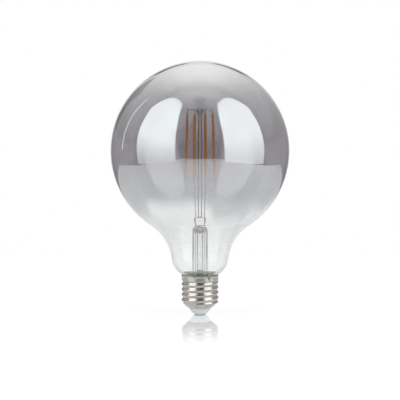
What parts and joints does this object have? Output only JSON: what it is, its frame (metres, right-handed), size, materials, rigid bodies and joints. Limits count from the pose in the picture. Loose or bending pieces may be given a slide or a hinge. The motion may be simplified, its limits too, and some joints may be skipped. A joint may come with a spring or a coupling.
{
  "type": "globe filament lamp",
  "caption": "Smoked glass globe lamp with a clear neck, a glass stem holding upright LED filaments round a rod, and a nickel screw cap with an insulated centre contact.",
  "frame": {"origin": "middle of the centre contact's flat face, at the lowest point of the lamp, on the screw cap's axis", "axes": "+Z along the lamp's axis from the contact towards the top of the globe, -Z the way the lamp is screwed in; +X to the right in the picture, which looks along +Y"},
  "size_m": [0.125, 0.125, 0.1778],
  "materials": {
    "smoked_glass": "polished, smoked at the top and clear at the neck",
    "clear_glass": "clear, polished",
    "nickel_wire": "drawn nickel wire",
    "phosphor": "matt phosphor in silicone",
    "tab_steel": "plated steel strip",
    "nickel_plate": "rolled and nickel plated",
    "insulator": "pale, moulded, glossy",
    "contact_metal": "plated rivet",
    "cement": "set cement, matt",
    "tinned_copper": "tinned",
    "board_laminate": "green laminate",
    "capacitor_sleeve": "dark sleeve",
    "ferrite": "dark, matt",
    "chip_moulding": "black moulding",
    "resistor_coat": "lacquered"
  },
  "bodies": {
    "root": {"glass_envelope": "smoked_glass", "stem_glass": "clear_glass", "exhaust_tube": "clear_glass", "support_rod": "clear_glass", "lead_wire_left": "nickel_wire", "lead_wire_right": "nickel_wire", "cross_bar_left": "nickel_wire", "cross_bar_right": "nickel_wire", "top_wire_1": "nickel_wire", "top_wire_2": "nickel_wire", "filament_1": "phosphor", "filament_1_top_tab": "tab_steel", "filament_1_bottom_tab": "tab_steel", "filament_2": "phosphor", "filament_2_top_tab": "tab_steel", "filament_2_bottom_tab": "tab_steel", "filament_3": "phosphor", "filament_3_top_tab": "tab_steel", "filament_3_bottom_tab": "tab_steel", "filament_4": "phosphor", "filament_4_top_tab": "tab_steel", "filament_4_bottom_tab": "tab_steel", "cap_shell": "nickel_plate", "cap_insulator": "insulator", "centre_contact": "contact_metal", "basing_cement": "cement", "shell_wire": "tinned_copper", "driver_board": "board_laminate", "driver_capacitor": "capacitor_sleeve", "driver_choke": "ferrite", "driver_chip": "chip_moulding", "driver_rectifier": "chip_moulding", "driver_resistor": "resistor_coat", "fuse_resistor": "resistor_coat"}
  },
  "joints": []
}
